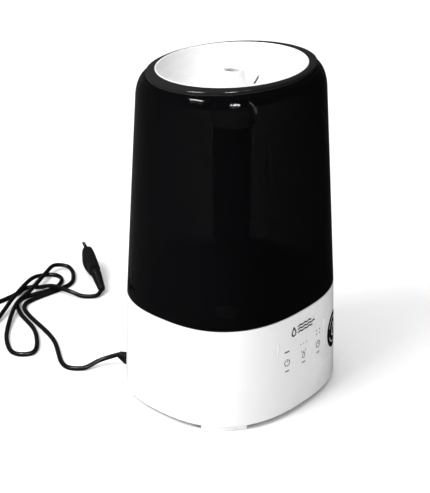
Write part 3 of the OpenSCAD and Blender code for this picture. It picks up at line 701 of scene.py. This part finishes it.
# ---- Transducer ----
# A silvered piezo disc sits in a black silicone seal under the tray. An aluminium
# clamp ring with three screws presses it up against the well.
tray_floor, ring_bolt_r = 73.6, 18
ring_low = tray_floor - 5
dress("transducer_disc", bright_metal("silvered_disc", (0.8, 0.8, 0.8), 0.25), 0.1)
dress("transducer_seal", soft_black("seal_silicone", (0.02, 0.02, 0.02), 0.55, 0.1), 0.1)
turned_aluminium = bright_metal("turned_aluminium", (0.72, 0.73, 0.75), 0.32)
dress("transducer_ring", turned_aluminium, 0.3)
ring_turns = [math.radians(120 * i - 25) for i in range(3)]
fit_screws(
    "ring_screws",
    [(ring_bolt_r * math.cos(t), ring_bolt_r * math.sin(t), ring_low - screw_head_h) for t in ring_turns],
    6.5, "transducer_screws",
)

# ---- Fan and air duct ----
# A square 60 mm fan in black glass-filled plastic blows up into a white duct that
# narrows to the air tower. Its rotor turns on a steel shaft round a copper motor.
fan_black = moulded("fan_black", (0.03, 0.03, 0.032), 0.48, 0.3)
fan_at, fan_top, fan_t = (-42, 38), tray_floor - 13.4, 20
dress("fan_housing", fan_black, 0.4)
dress("fan_rotor", moulded("rotor_grey", (0.05, 0.05, 0.055), 0.4, 0.2), 0.2)
dress("fan_shaft", bright_metal("ground_steel", (0.7, 0.7, 0.72), 0.2, (1, 1, 0.2)), 0.1)


def winding_paint():
    material, graph, place = new_paint("copper_winding")
    wire_turns_and_shade = graph.add("ShaderNodeTexWave", {"bands_direction": "Z"}, {"Vector": place, "Scale": 900.0})
    finish_paint(
        graph,
        # The copper is darker in the grooves between the turns, where the bumps are low: painted shade.
        Base_Color=tint(graph, wire_turns_and_shade, (0.30, 0.11, 0.03), (0.78, 0.36, 0.14)),
        Metallic=0.9,
        Roughness=0.3 + wire_turns_and_shade * 0.2,
        Normal=bumps(graph, wire_turns_and_shade, 0.5, 0.0003),
    )
    return material


dress("fan_motor", winding_paint(), 0.2)
duct_white = moulded("duct_white", (0.76, 0.76, 0.76), 0.42, 0.1)
dress("air_duct", duct_white, 0.5)
fan_half, bolt_in = 30, 4.6
reach, bolt_low = fan_half - bolt_in, fan_top - fan_t - screw_head_h
bolt_places = [(fan_at[0] + sx * reach, fan_at[1] + sy * reach, bolt_low) for sx, sy in corners]
fit_screws("fan_bolts", bolt_places, fan_t + 9, "fan_screws")


# ---- Circuit boards ----
# The driver board with its heat sink and the supply board stand on pillars of the
# plate. The touch board stands behind the front wall under the printed keys.
def circuit(name, mask, copper):
    """Glossy solder mask over tracks, with small tinned pads."""
    material, graph, place = new_paint(name)
    tracks = graph.add(
        "ShaderNodeTexBrick", {"offset": 0.35},
        {"Vector": place, "Scale": 150.0, "Mortar Size": 0.06, "Mortar Smooth": 0.2,
         "Color1": (*mask, 1), "Color2": (*[c * 0.8 for c in mask], 1), "Mortar": (*copper, 1)},
    )
    pads = graph.add("ShaderNodeTexVoronoi", inputs={"Vector": place, "Scale": 210.0}) < 0.16
    colour = graph.add(
        "ShaderNodeMix", {"data_type": "RGBA"}, {0: pads, 6: tracks, 7: (0.66, 0.66, 0.64, 1)}, output=2
    )
    finish_paint(
        graph, Base_Color=colour, Metallic=pads, Roughness=0.28 + pads * 0.12,
        Normal=bumps(graph, tracks.out("Fac"), 0.3, 0.0001),
    )
    return material


dress("driver_board", circuit("mask_green", (0.01, 0.16, 0.06), (0.03, 0.26, 0.10)), 0.2)
dress("power_board", circuit("mask_blue", (0.02, 0.07, 0.22), (0.05, 0.14, 0.34)), 0.2)
dress("touch_board", circuit("mask_dark", (0.01, 0.12, 0.05), (0.03, 0.2, 0.09)), 0.2)
dress("heat_sink", bright_metal("anodised_fins", (0.66, 0.67, 0.7), 0.4, (0.2, 1, 1)), 0.2)

# ---- Base housing, badge and keys ----
# One glossy white ABS shell with a rounded-square plan that leans in a little. A round
# black badge is let into the front right, and the touch keys are printed in grey on the
# front, with plain signs for power, mist and timer.
def outline_heading(half, square, turn):
    c, s = math.cos(turn), math.sin(turn)
    power = 2 - 2 / square
    return math.atan2(
        math.copysign(abs(s) ** power, s) / half[1], math.copysign(abs(c) ** power, c) / half[0]
    )


def loft(levels, sides=192, closed=True):
    """Rings through levels of half width, half depth, height and squareness."""
    rings = [
        [(*outline_point(level[:2], level[3], turn), level[2]) for turn in full_turn(sides)]
        for level in levels
    ]
    return skin(rings, closed)


def base_corner(z, inset, setback=0.0):
    return (*base_half(z, inset), z, base_square), setback


housing_z0, ledge_z, ledge_w = foot_h + 0.6, base_h - 5.4, 4
housing_profile = rounded([
    base_corner(housing_z0, 0, 1.4), base_corner(base_h, 0, 1.0), base_corner(base_h, base_wall, 0.4),
    base_corner(ledge_z, base_wall), base_corner(ledge_z, base_wall + ledge_w, 0.3),
    base_corner(ledge_z - 2, base_wall + ledge_w, 0.3), base_corner(ledge_z - 6, base_wall),
    base_corner(housing_z0, base_wall, 0.3),
])


def block(low, high):
    xs, ys, zs = zip(low, high)
    ring = [(0, 0), (1, 0), (1, 1), (0, 1)]
    return skin([[(xs[i], ys[j], z) for i, j in ring] for z in zs])


def moved(shell, x, y, z=0.0):
    points, faces = shell
    return [(px + x, py + y, pz + z) for px, py, pz in points], faces


boss_hole_r, boss_r, boss_top = screw_r + 0.05, 4.5, plate_top + 20
boss_tube = [(boss_hole_r, plate_top), (boss_r, plate_top), (boss_r, boss_top), (boss_hole_r, boss_top)]
housing_shells = [loft(housing_profile)]
housing_shells += [moved(lathe(boss_tube, 32), x, y) for x, y in boss_places]
badge_turn, badge_z, badge_r, badge_lift = math.radians(-58), 57, 19, 0.16
guide_x, guide_low, guide_high, guide_depth = 35.4, 32, 82, 7.6
guide_y = -base_half(badge_z, base_wall + 0.1)[1]
for middle in (-guide_x, guide_x):
    near, far = (middle - 1, guide_y, guide_low), (middle + 1, guide_y + guide_depth, guide_high)
    housing_shells.append(block(near, far))
gloss_white = moulded("gloss_white", (0.74, 0.74, 0.74), 0.26, 0.03, 0.02, IOR=1.35)
from_shells("housing_shell", housing_shells, gloss_white, "base", "white_housing", "base_housing")


def wall_spot(centre_turn, u, z, lift):
    """The point on the base's wall at a distance u along it from a turn, and at a height."""
    half = base_half(z, 0)
    centre = Vector(outline_point(half, base_square, centre_turn))
    heading = outline_heading(half, base_square, centre_turn)
    along = Vector((-math.sin(heading), math.cos(heading)))
    low, high = centre_turn - 0.9, centre_turn + 0.9
    for _ in range(30):
        turn = (low + high) / 2
        if (Vector(outline_point(half, base_square, turn)) - centre).dot(along) < u:
            low = turn
        else:
            high = turn
    facing = outline_heading(half, base_square, turn)
    x, y = outline_point(half, base_square, turn)
    return x + lift * math.cos(facing), y + lift * math.sin(facing), z


groove_r = badge_r - 1.3
badge_profile = [(r, badge_lift) for r in (0.4, 4, 9, 14, groove_r - 0.3)]
badge_profile += [(groove_r - 0.1, 0.02), (groove_r + 0.1, 0.02), (groove_r + 0.3, badge_lift)]
badge_profile += [(badge_r - 0.4, 0.18), (badge_r - 0.1, 0.12), (badge_r, -0.05), (badge_r, -1.1)]
badge_rings = [
    [wall_spot(badge_turn, r * math.cos(t), badge_z + r * math.sin(t), lift) for t in full_turn(72)]
    for r, lift in badge_profile
]
badge_black = moulded("badge_black", (0.006, 0.006, 0.007), 0.12, 0.01, IOR=1.1)
from_shells("badge_disc", [skin(badge_rings)], badge_black, "base", "badge_black", "round_badge")


def arc(x, y, r, start, end, steps=20):
    turns = [math.radians(start + (end - start) * i / steps) for i in range(steps + 1)]
    return [(x + r * math.cos(t), y + r * math.sin(t)) for t in turns]


def printed(strokes, centre_turn, lift, thick=0.04):
    """Thin closed ribbons of ink on the wall; a stroke is its width and its line."""
    shells = []
    for width, path in strokes:
        fine = [Vector(path[0])]
        for a, b in zip(path, path[1:]):
            pieces = max(1, round((Vector(b) - Vector(a)).length / 1.5))
            fine += [Vector(a).lerp(Vector(b), (i + 1) / pieces) for i in range(pieces)]
        rings = []
        for k, spot in enumerate(fine):
            run = (fine[min(k + 1, len(fine) - 1)] - fine[max(k - 1, 0)]).normalized()
            side = Vector((-run.y, run.x)) * width / 2
            rings.append([
                wall_spot(centre_turn, spot.x + side.x * s, spot.y + side.y * s, lift + up * thick)
                for s, up in ((-1, 0), (1, 0), (1, 1), (-1, 1))
            ])
        shells.append(skin(rings))
    return shells


def drop_mark(x, y, size, width):
    """A plain water drop."""
    round_part = arc(x, y, size, 150, 390)
    return [(width, [(x, y + size * 2.2), *round_part, (x, y + size * 2.2)])]


key_gap, key_z = 24.4, 58.5
power_sign = [
    (0.9, arc(-key_gap, key_z, 3.3, 120, 420)), (0.9, [(-key_gap, key_z + 0.8), (-key_gap, key_z + 4.2)]),
]
mist_sign = drop_mark(0, key_z - 2.0, 2.1, 0.9)
wisp = ((2.6, 0), (3.3, 1.2), (2.6, 2.4))
mist_sign += [(0.8, [(side * x, key_z + 2.2 + dz) for x, dz in wisp]) for side in (-1, 1)]
timer_sign = [(0.9, arc(key_gap, key_z, 3.4, 0, 360)),
              (0.8, [(key_gap, key_z + 2.2), (key_gap, key_z), (key_gap + 1.6, key_z)])]


def dash(x, z, half_long, width):
    return width, [(x - half_long, z), (x + half_long, z)]


low_z, high_z, top_z = 49.6, 70, 74
lower_bars = [dash(x, low_z, 2.6, 1.2) for x in (-key_gap, 0, key_gap)]
upper_marks = [dash(-key_gap, high_z, 3.2, 1.4)]
upper_marks += [dash(x, high_z, 0.5, 1.3) for x in (-4.2, 0, 4.2)]
upper_marks += [dash(key_gap + x, z, 0.9, 1.2) for x in (-2.6, 2.6) for z in (high_z, top_z)]


def ink(name, colour):
    material, graph, place = new_paint(name)
    screen = noise(graph, place, 2400.0)
    finish_paint(
        graph,
        Base_Color=tint(graph, screen, colour, [c * 1.25 for c in colour]),
        Roughness=0.42 + screen * 0.1,
        Normal=bumps(graph, screen, 0.1, 0.0001),
    )
    return material


front_turn, ink_lift = math.radians(-90), 0.02
grey_ink = ink("grey_ink", (0.03, 0.03, 0.032))
key_strokes = power_sign + mist_sign + timer_sign + lower_bars + upper_marks
from_shells("key_print", printed(key_strokes, front_turn, ink_lift), grey_ink, "base", "badge_black")
top_mark = drop_mark(-14.6, 86.2, 2.8, 1.7)
for z, far in ((91.4, 12), (88.2, 18), (85.0, 14)):
    top_mark.append((1.6, [(x, z + 0.5 * math.sin(x * 0.9)) for x in range(-9, far + 1)]))
dark_ink = ink("dark_ink", (0.02, 0.02, 0.02))
from_shells("drop_print", printed(top_mark, front_turn, ink_lift), dark_ink, "base", "badge_black")
badge_mark = drop_mark(0, badge_z - 2.6, 4.6, 1.2)
badge_mark += [(0.8, arc(0, badge_z, 13.2, start, start + 140)) for start in (200, 20)]
light_ink = ink("light_ink", (0.55, 0.55, 0.55))
badge_shells = printed(badge_mark, badge_turn, badge_lift + 0.01)
from_shells("badge_print", badge_shells, light_ink, "base", "badge_black")

# ---- Water tray and level float ----
# The tray is a white tub on the housing's ledge, with the air tower moulded in. A foamed
# float with a ring magnet slides on a post under a steel clip.
dress("water_tray", moulded("tray_white", (0.78, 0.78, 0.78), 0.3, 0.05), 0.5)


def foam_paint():
    material, graph, place = new_paint("float_foam")
    cells_and_pit_shade = graph.add("ShaderNodeTexVoronoi", inputs={"Vector": place, "Scale": 1400.0})
    # The foam is darker in the hollow middle of each cell, where the bumps are low: painted shade.
    finish_paint(
        graph, Base_Color=tint(graph, cells_and_pit_shade, (0.70, 0.70, 0.69), (0.86, 0.86, 0.85)), Roughness=0.75,
        Normal=bumps(graph, cells_and_pit_shade, 0.6, 0.0003),
    )
    return material


dress("float_puck", foam_paint(), 0.5)
dress("float_magnet", moulded("ferrite", (0.07, 0.07, 0.075), 0.6, 0.6, 0.3), 0.1)
dress("float_clip", bright_metal("clip_steel", (0.68, 0.68, 0.7), 0.3), 0.1)


# ---- Tank ----
# The tank is blown in one piece from smoked, see-through plastic and curves in at its
# shoulder. Its floor and the mist tube up the middle are of the same smoked plastic.
def smoked(name, colour, alpha, roughness, ior):
    """Dark see-through plastic with a very fine flow in it."""
    material, graph, place = new_paint(name)
    flow = noise(graph, place, 9.0, 2.0)
    slant = graph.add("ShaderNodeLayerWeight", inputs={"Blend": 0.5}, output=1)
    finish_paint(
        graph,
        Base_Color=tint(graph, flow, colour, [c * 1.5 for c in colour]),
        Roughness=roughness + flow * 0.04,
        Alpha=alpha + (flow - 0.5) * 0.04 + slant * (1.0 - alpha),
        IOR=ior,
        Normal=bumps(graph, flow, 0.06, 0.002),
    )
    return material


rim_z = 328.4
shoulder_z, mouth_z = rim_z - 26.4, rim_z - 5
shoulder_half = (joint_half[0] - 5.7, joint_half[1] - 8.4)
mouth_half = (shoulder_half[0] - 7, shoulder_half[1] - 10.8)
dish_half = (mouth_half[0] - 12, mouth_half[1] - 5)
shoulder_square, mouth_square = 2.06, 2.0
tank_z0, tank_wall = base_h + 0.4, 3


def mix(a, b, share):
    return a + (b - a) * share


def tank_level(z, inset):
    share = (z - base_h) / (shoulder_z - base_h)
    half = [mix(a, b, share) - inset for a, b in zip(joint_half, shoulder_half)]
    return (*half, z, mix(base_square, shoulder_square, share))


def shoulder_level(t, inset):
    across, up = 1 - math.cos(math.pi / 2 * t), math.sin(math.pi / 2 * t)
    half = [mix(a, b, across) - inset * (1 - 0.2 * up) for a, b in zip(shoulder_half, mouth_half)]
    return (*half, mix(shoulder_z, mouth_z, up) - inset * up, mix(shoulder_square, mouth_square, t))


wall_steps, curve_steps = 24, 14
wall_low = tank_z0 + 0.6
wall_heights = [wall_low + (shoulder_z - wall_low) * i / wall_steps for i in range(wall_steps + 1)]
curve_shares = [i / curve_steps for i in range(1, curve_steps + 1)]
tank_levels = [tank_level(tank_z0, 0.5), tank_level(tank_z0 + 0.2, 0.15)]
tank_levels += [tank_level(z, 0) for z in wall_heights]
tank_levels += [shoulder_level(t, 0) for t in curve_shares]
inner_mouth = [h - tank_wall for h in mouth_half]
tank_levels += [(*inner_mouth, mouth_z, mouth_square), (*inner_mouth, mouth_z - 3, mouth_square)]
tank_levels += [shoulder_level(t, tank_wall) for t in reversed(curve_shares[:11])]
tank_levels += [tank_level(z, tank_wall) for z in reversed(wall_heights)]
tank_levels += [tank_level(tank_z0, tank_wall)]
tank_smoke = smoked("tank_smoke", (0.0015, 0.0015, 0.0018), 0.76, 0.02, 1.2)
from_shells("tank_body", [loft(tank_levels)], tank_smoke, "tank", "smoked_tank", "tank_shell")
floor_smoke = smoked("floor_smoke", (0.004, 0.004, 0.0045), 0.8, 0.05, 1.35)
dress("tank_floor", floor_smoke, 0.8)
step_top, bowl_floor_z = tank_z0 + 15, rim_z - 34
tube_top, tube_r = bowl_floor_z - 4.4, 18.25
tube_profile = rounded([
    ((tube_r - 1.5, step_top), 0.3), ((tube_r + 2.6, step_top), 0.3), ((tube_r + 2.6, step_top + 3), 0.6),
    ((tube_r, step_top + 7), 1.5), ((tube_r, tube_top), 0.5), ((tube_r - 1.5, tube_top), 0.5),
])
from_shells("mist_column", [lathe(tube_profile, 96)], floor_smoke, "tank", "smoked_floor", "mist_tube")

# ---- Tank valve ----
# The cap screws on under the tank's floor. A sprung plunger with a silicone seal lets
# water into the tray when the tank stands on its base.
dress("valve_cap", moulded("valve_grey", (0.10, 0.10, 0.105), 0.45, 0.2), 0.3)
dress("valve_plunger", moulded("plunger_grey", (0.62, 0.62, 0.62), 0.4, 0.1), 0.2)
dress("valve_seal", soft_black("clear_silicone", (0.45, 0.45, 0.45), 0.5, 0.1), 0.2)
valve_at, valve_travel = (-60, -46), 3
button_top, spider_low = tank_z0 - 19.2, tank_z0 - 9.6
wire_r, coil_r, coil_turns, ring_steps = 0.5, 5, 4, 32
coil_low, coil_high = button_top + wire_r + 0.05, spider_low - wire_r - 0.05
coil_rings = []
for k in range(coil_turns * ring_steps + 1):
    turn, height = math.tau * k / ring_steps, mix(coil_low, coil_high, k / (coil_turns * ring_steps))
    section = [(coil_r + wire_r * math.cos(a), wire_r * math.sin(a)) for a in full_turn(12)]
    coil_rings.append([
        (valve_at[0] + r * math.cos(turn), valve_at[1] + r * math.sin(turn), height + up)
        for r, up in section
    ])
spring_metal = bright_metal("spring_wire", (0.72, 0.72, 0.74), 0.25, (0.3, 0.3, 1))
coil_spring = from_shells(
    "coil_spring", [skin(coil_rings)], spring_metal, "valve", "spring_steel", "valve_spring"
)
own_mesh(coil_spring)


# ---- Lid ----
# A glossy black ring drops into the tank's mouth on a silicone seal and carries the white
# pouring dish, which has drain slots in a circle and a collar under it for the mist tube.
def rim_corner(mouth_share, z, inset=0.0, setback=0.0):
    """A corner between the dish's outline, at 0, and the mouth's, at 1."""
    half = [mix(dish + 0.2, mouth, mouth_share) - inset for dish, mouth in zip(dish_half, mouth_half)]
    return (*half, z, mouth_square), setback


skirt, skirt_wall, skirt_h, edge_z = tank_wall + 0.3, 1.6, 13, mouth_z + 1.2
ring_profile = rounded([
    rim_corner(1, edge_z, 0, 0.3), rim_corner(1, rim_z - 1.5, 0, 1.0), rim_corner(0, rim_z - 0.3, 0, 0.4),
    rim_corner(0, rim_z - 5), rim_corner(1, rim_z - 5, skirt + skirt_wall),
    rim_corner(1, mouth_z - skirt_h, skirt + skirt_wall, 0.3), rim_corner(1, mouth_z - skirt_h, skirt, 0.3),
    rim_corner(1, edge_z, skirt),
])
rim_black = moulded("rim_black", (0.010, 0.010, 0.011), 0.14, 0.03)
from_shells("lid_ring", [loft(ring_profile)], rim_black, "lid", "rim_black", "lid_rim")
dress("lid_seal", soft_black("lid_silicone", (0.03, 0.03, 0.03), 0.5, 0.1), 0.1)

flat_r, hole_r, dish_wall, rim_lip, dish_depth = 24, 17.3, 2.2, 1.6, 34
ring_lines, ring_line_depth = (0.38, 0.52, 0.66, 0.80, 0.92), 0.3


def bowl_level(share, drop):
    half = [mix(flat_r, h - rim_lip, share) for h in dish_half]
    line = sum(math.exp(-(((share - at) / 0.006) ** 2)) for at in ring_lines) * ring_line_depth
    height = bowl_floor_z + (dish_depth - 0.6) * share**2.4
    return Vector((*half, height - (drop if drop else line), mouth_square))


dish_levels = rounded([
    ((*dish_half, rim_z - 3, mouth_square), 0), ((*dish_half, rim_z, mouth_square), 0.5),
    ((dish_half[0] - 1.2, dish_half[1] - 1.2, rim_z, mouth_square), 0.4),
    (tuple(bowl_level(0.985, 0)), 0),
])
dish_levels += [bowl_level(i / 150, 0) for i in range(147, -1, -1)]
dish_levels += [Vector((hole_r, hole_r, z, mouth_square)) for z in (bowl_floor_z, bowl_floor_z - dish_wall)]
dish_levels += [bowl_level(i / 30, dish_wall) for i in range(31)]


def slot_tree():
    """Cuts round-ended slots into the source mesh, evenly round the axis."""
    graph, given = new_tree("drain_slots", {
        "Slots": "Int", "Start": "Float", "Length": "Float", "Width": "Float",
        "Low": "Float", "Height": "Float", "Material": "Material",
    })
    plan = graph.add("GeometryNodeCurvePrimitiveQuadrilateral", {"mode": "RECTANGLE"}, {
        "Width": given["Length"], "Height": given["Width"],
    })
    soft = graph.add("GeometryNodeFilletCurve", {"mode": "POLY"}, {
        "Curve": plan, "Radius": given["Width"] * 0.49, "Count": 6,
    })
    face = graph.add("GeometryNodeFillCurve", inputs={"Curve": soft})
    walls = graph.add("GeometryNodeExtrudeMesh", inputs={
        "Mesh": face, "Offset": vector(graph, z=1.0), "Offset Scale": given["Height"], "Individual": False,
    })
    floor = graph.add("GeometryNodeFlipFaces", inputs={"Mesh": face})
    both = graph.add("GeometryNodeJoinGeometry", inputs={0: [walls, floor]})
    cutter = graph.add("GeometryNodeMergeByDistance", inputs={"Geometry": both, "Distance": 1e-6})
    middle = given["Start"] + given["Length"] * 0.5
    placed = graph.add("GeometryNodeTransform", inputs={
        "Geometry": cutter, "Translation": vector(graph, x=middle, z=given["Low"]),
    })
    spots = graph.add("GeometryNodeMeshLine", {"mode": "OFFSET"}, {"Count": given["Slots"]})
    turn = (graph.add("GeometryNodeInputIndex") + 0.5) * math.tau / given["Slots"]
    around = graph.add("GeometryNodeInstanceOnPoints", inputs={
        "Points": spots, "Instance": placed, "Rotation": vector(graph, z=turn),
    })
    cutters = graph.add("GeometryNodeRealizeInstances", inputs={0: around})
    cut = graph.add("GeometryNodeMeshBoolean", {"operation": "DIFFERENCE"}, {
        "Mesh 1": given["Geometry"], "Mesh 2": cutters,
    })
    return close_tree(graph, cut, given["Material"])


dish_white = moulded("dish_white", (0.82, 0.82, 0.82), 0.3, 0.03, 0.02)
slot_start = 0.57 * flat_r + 0.43 * dish_half[1]
slot_len, slot_w, cutter_h = 11, 2.6, 28
slot_sizes = {"Slots": 16, "Start": slot_start * MM, "Length": slot_len * MM, "Width": slot_w * MM,
              "Low": (bowl_floor_z - 6) * MM, "Height": cutter_h * MM, "Material": dish_white}
dish_mesh = grow(slot_tree(), slot_sizes, shape("pouring_dish", [loft(dish_levels)]))
piece("pouring_dish", dish_mesh, dish_white, "lid", "dish_white", "lid_dish")
collar_in, collar_low, collar_top = tube_r + 0.35, tube_top - 18, bowl_floor_z - dish_wall
collar_out, flange_low = collar_in + 1.8, collar_top - 1.6
collar_profile = rounded([
    ((collar_in, collar_low), 0.3), ((collar_out, collar_low), 0.5), ((collar_out, flange_low), 0.4),
    ((flat_r, flange_low), 0.3), ((flat_r, collar_top), 0), ((collar_in, collar_top), 0),
])
from_shells("tube_collar", [lathe(collar_profile, 96)], dish_white, "lid", "dish_white", "lid_collar")

# ---- Mist nozzle ----
# A white funnel turned upside down stands in the hole of the dish and lifts out for
# cleaning. The mist leaves through the round opening in its top.
nozzle_top, nozzle_foot, plug_r, nozzle_hole, nozzle_wall = rim_z - 5.5, 20.5, hole_r - 0.3, 6.75, 1.8
nozzle_low = bowl_floor_z - 3.2
nozzle_profile = rounded([
    ((plug_r - nozzle_wall, nozzle_low), 0.4), ((plug_r, nozzle_low), 0.4),
    ((plug_r, bowl_floor_z + 0.1), 0), ((nozzle_foot, bowl_floor_z + 0.1), 0.3),
    ((nozzle_foot, bowl_floor_z + 1.6), 0.8), ((nozzle_foot - 2, bowl_floor_z + 2.6), 1.0),
    ((10.6, nozzle_top - 1), 0.8), ((10, nozzle_top), 0.4), ((nozzle_hole + 1, nozzle_top), 0.4),
    ((nozzle_hole, nozzle_top - 1), 0.4), ((nozzle_hole, nozzle_top - 2.4), 0.6),
    ((plug_r - nozzle_wall, bowl_floor_z + 2), 1.0),
])
from_shells("mist_funnel", [lathe(nozzle_profile, 96)], dish_white, "nozzle", "dish_white", "mist_nozzle")
